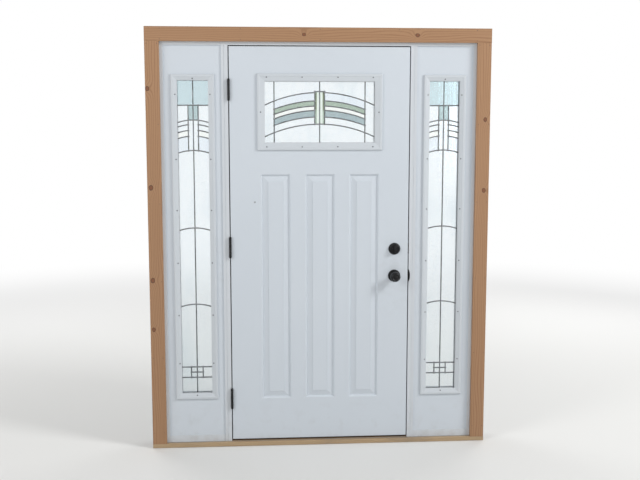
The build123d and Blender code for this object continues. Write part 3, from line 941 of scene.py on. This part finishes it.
collar = turned(stations_of(
    (31.0, 0.0), (30.3, 1.0), (28.0, 4.6), (25.3, 9.0), (22.6, 13.4), (21.2, 15.6), (19.8, 17.1),
    (18.0, 17.9), (12.4, 17.9), (11.9, 17.2), (11.4, 17.2), (11.0, 17.7), (3.0, 17.8),
), sides=64)
key_half_width, key_half_height = 0.0009, 0.0045
key_floor, key_mouth = 0.0130, 0.0190
sunk(collar, Vector((-key_half_width, -key_mouth, -key_half_height)),
     Vector((key_half_width, -key_floor, key_half_height)))
placed(collar, (lock_x, street_side, deadbolt_z), half_turn)
lock_piece(collar, "deadbolt_collar", "door", "deadbolt_cylinder_outside")

turn_hub = turned(stations_of(
    (3.9, -13.2), (3.9, 11.5), (11.2, 11.5), (11.9, 12.2), (11.9, 13.6), (11.0, 14.4), (2.0, 14.5),
), sides=48)
wing_half_width, wing_half_length = 0.0040, 0.0170
wing_root, wing_face = 0.0140, 0.0285
wing_middle = (wing_root + wing_face) / 2
wing_corner = 0.0078
wing_round = 0.0012
turn_wing = bar(Vector((-wing_half_width, -wing_face, -wing_half_length)),
                Vector((wing_half_width, -wing_root, wing_half_length)))
# The wing's face is rounded over at both ends.
take(turn_wing)
bpy.ops.object.mode_set(mode="EDIT")
bpy.ops.mesh.select_mode(type="EDGE")
bpy.ops.mesh.select_all(action="DESELECT")
bpy.ops.object.mode_set(mode="OBJECT")
for edge in turn_wing.data.edges:
    first, last = (turn_wing.data.vertices[index].co for index in edge.vertices)
    edge.select = abs(first.x - last.x) > wing_half_width and first.y < -wing_middle
bpy.ops.object.mode_set(mode="EDIT")
bpy.ops.mesh.bevel(offset=wing_corner, segments=8, affect="EDGES")
bpy.ops.mesh.select_mode(type="VERT")
bpy.ops.object.mode_set(mode="OBJECT")
rounded(turn_wing, wing_round, segments=3)
turn_piece = placed(joined([turn_hub, turn_wing], "turn_piece"), (lock_x, room_side, deadbolt_z))
lock_piece(turn_piece, "deadbolt_turn_piece", "thumbturn", "thumbturn")

bolt_steel, shader, place = new_finish("bolt_steel")
rub = streaks(place, 60.0, 500.0, 500.0, 3.0)
feed(shader, {
    "Base Color": blend(rub, tone(150, 152, 154), tone(112, 114, 117)),
    "Metallic": 0.9,
    "Roughness": 0.3 + 0.2 * rub,
    "Normal": relief(rub, 0.25, 0.0002),
})
coat(bolt_steel, "latch_bolt", "deadbolt_bolt")


# The foam seal and the sweep are black: soft foam in a thin skin, and flexible vinyl fins. Both are
# dull, and dust greys them.
black_seal, shader, place = new_finish("black_vinyl")
dust = step_between(noise(place, 34.0, 5.0), 0.45, 0.75)
skin = noise(place, 500.0, 2.0)
feed(shader, {
    "Base Color": blend(dust, tone(30, 30, 31), tone(58, 56, 54)),
    "Roughness": 0.62 + 0.15 * dust,
    "Normal": relief(skin, 0.3, 0.0004),
})
coat(black_seal, "door_seal", "door_sweep")


# Brick moulding covers the joint between the frame and the outer wall. It is a stock pine profile,
# mitred at the head and nailed on once the unit stands. Each length is its plain solid, run on past
# the corner and cut back at 45 degrees.
corner_reach = 0.060
top_band = 0.0001


def mitred(node, name, paint, corners):
    """A length of moulding, cut by each corner's plane: its X, its Z, and which way the cut leans. An
    upright length is drawn on past the corner first."""
    piece = bpy.data.objects.new(name, nodes[node].data.copy())
    bpy.context.scene.collection.objects.link(piece)
    low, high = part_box(node)
    take(piece)
    bpy.ops.object.mode_set(mode="EDIT")
    bpy.ops.mesh.select_all(action="SELECT")
    bpy.ops.mesh.remove_doubles(threshold=merge_reach)
    bpy.ops.mesh.select_all(action="DESELECT")
    bpy.ops.object.mode_set(mode="OBJECT")
    upright = high.z - low.z > high.x - low.x
    if upright:
        for vertex in piece.data.vertices:
            vertex.select = vertex.co.z > high.z - top_band
        bpy.ops.object.mode_set(mode="EDIT")
        bpy.ops.transform.translate(value=(0, 0, corner_reach))
        bpy.ops.object.mode_set(mode="OBJECT")
    bpy.ops.object.mode_set(mode="EDIT")
    for x, z, lean in corners:
        bpy.ops.mesh.select_all(action="SELECT")
        bpy.ops.mesh.bisect(plane_co=(x, 0, z), plane_no=lean, use_fill=True, clear_outer=True)
    bpy.ops.object.mode_set(mode="OBJECT")
    bpy.ops.object.shade_smooth_by_angle(angle=crease)
    painted(piece, paint)
    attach(piece, "frame")
    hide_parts(node)


low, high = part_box("brickmould_head")
mitred("brickmould_left", "brick_moulding_left", upright_paint, [(low.x, high.z, (1, 0, 1))])
mitred("brickmould_right", "brick_moulding_right", upright_paint, [(high.x, high.z, (-1, 0, 1))])
head_cuts = [(low.x, high.z, (-1, 0, -1)), (high.x, high.z, (1, 0, -1))]
mitred("brickmould_head", "brick_moulding_head", level_paint, head_cuts)


# The casing is knotty pine, flat boards butted at the head and nailed to the jambs with small headed
# nails, under a clear satin finish. The growth rings run the length of each board and part round its
# knots, which are red-brown inside a thin dark ring.
def board_streaks(place, along, lengthwise, crosswise, detail):
    """Streaks that run along one axis: how fine they are along it and across it."""
    return streaks(place, *[lengthwise if axis == along else crosswise for axis in "XYZ"], detail)


def knotty_pine(name, along, across, knots):
    """Pine whose length lies along one axis. Each knot is its place along, its place across and its
    radius."""
    material, shader, place = new_finish(name)
    run, side = parts_of(place, along + across)
    drift = board_streaks(place, along, 1.2, 9.0, 2.0)
    ragged = noise(place, 120.0, 3.0) - 0.5
    field = side * 40.0 + drift * 3.2
    heart, dark_ring, knot_rings = 0.0, 0.0, 0.0
    for knot_run, knot_side, radius in knots:
        away = (((run - knot_run) * 0.8) ** 2.0 + (side - knot_side) ** 2.0) ** 0.5
        field = field + 0.9 * math.e ** ((away / (radius * 2.2)) ** 2.0 * -1.0)
        outline = away + ragged * radius * 0.45
        core = fading(outline, radius * 0.72, radius * 0.9)
        past_core = step_between(outline, radius * 0.55, radius * 0.75)
        heart = core + heart
        dark_ring = past_core * fading(outline, radius * 0.85, radius) + dark_ring
        knot_rings = core * (0.5 + 0.5 * (outline * 3400.0).maths("SINE")) + knot_rings
    spacing = board_streaks(place, along, 2.88, 21.6, 1.0)
    phase = field * 14.0 + spacing * 9.0
    late_wood = step_between(phase.maths("SINE"), 0.1, 0.95)
    fibre = board_streaks(place, along, 12.0, 700.0, 3.0)
    patch = board_streaks(place, along, 0.6, 4.5, 2.0)
    wood = blend(patch, tone(174, 136, 102), tone(152, 113, 80))
    wood = blend(late_wood * 0.45, wood, tone(126, 87, 58))
    wood = blend(fibre * 0.22, wood, tone(118, 82, 56))
    wood = blend(heart * 0.85, wood, tone(128, 76, 44))
    wood = blend(knot_rings * 0.6, wood, tone(84, 46, 26))
    wood = blend(dark_ring * 0.75, wood, tone(58, 34, 20))
    feed(shader, {
        "Base Color": wood,
        "Roughness": 0.38 + 0.16 * fibre - 0.06 * late_wood,
        "Normal": relief(fibre * 0.5 + late_wood * 0.4 - dark_ring, 0.35, 0.0005),
        "Coat Weight": 0.2,
        "Coat Roughness": 0.25,
    })
    return material


left_knots = [
    (1.836, -0.855, 0.011), (1.347, -0.847, 0.012), (0.878, -0.848, 0.012), (0.625, -0.848, 0.010),
]
right_knots = [(1.685, 0.840, 0.010), (1.326, 0.840, 0.011)]
head_knots = [(-0.081, 2.103, 0.009), (0.488, 2.103, 0.010)]
coat(knotty_pine("pine_left", "Z", "X", left_knots), "casing_left")
coat(knotty_pine("pine_right", "Z", "X", right_knots), "casing_right")
coat(knotty_pine("pine_head", "X", "Z", head_knots), "casing_head")

nail = painted(turned([
    (0.0017, -0.0004), (0.0017, 0.0001), (0.0013, 0.0003), (0.0005, 0.0003),
], sides=12), dark_zinc)
nail_margin = 0.010
nail_pitch = 0.395
first_nail = 0.06
nails_up = 6
nails_beside = 2
nails = []
for side in ("left", "right"):
    low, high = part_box("casing_" + side)
    for x in (low.x + nail_margin, high.x - nail_margin):
        for number in range(nails_up):
            nails.append(copied(nail, (x, low.y, low.z + first_nail + number * nail_pitch)))
low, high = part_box("casing_head")
for z in (low.z + nail_margin, high.z - nail_margin):
    for number in range(-nails_beside, nails_beside + 1):
        nails.append(copied(nail, (number * nail_pitch, low.y, z)))
nail_heads = joined(nails, "casing_nails")
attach(nail_heads, "frame")
bpy.data.objects.remove(nail)
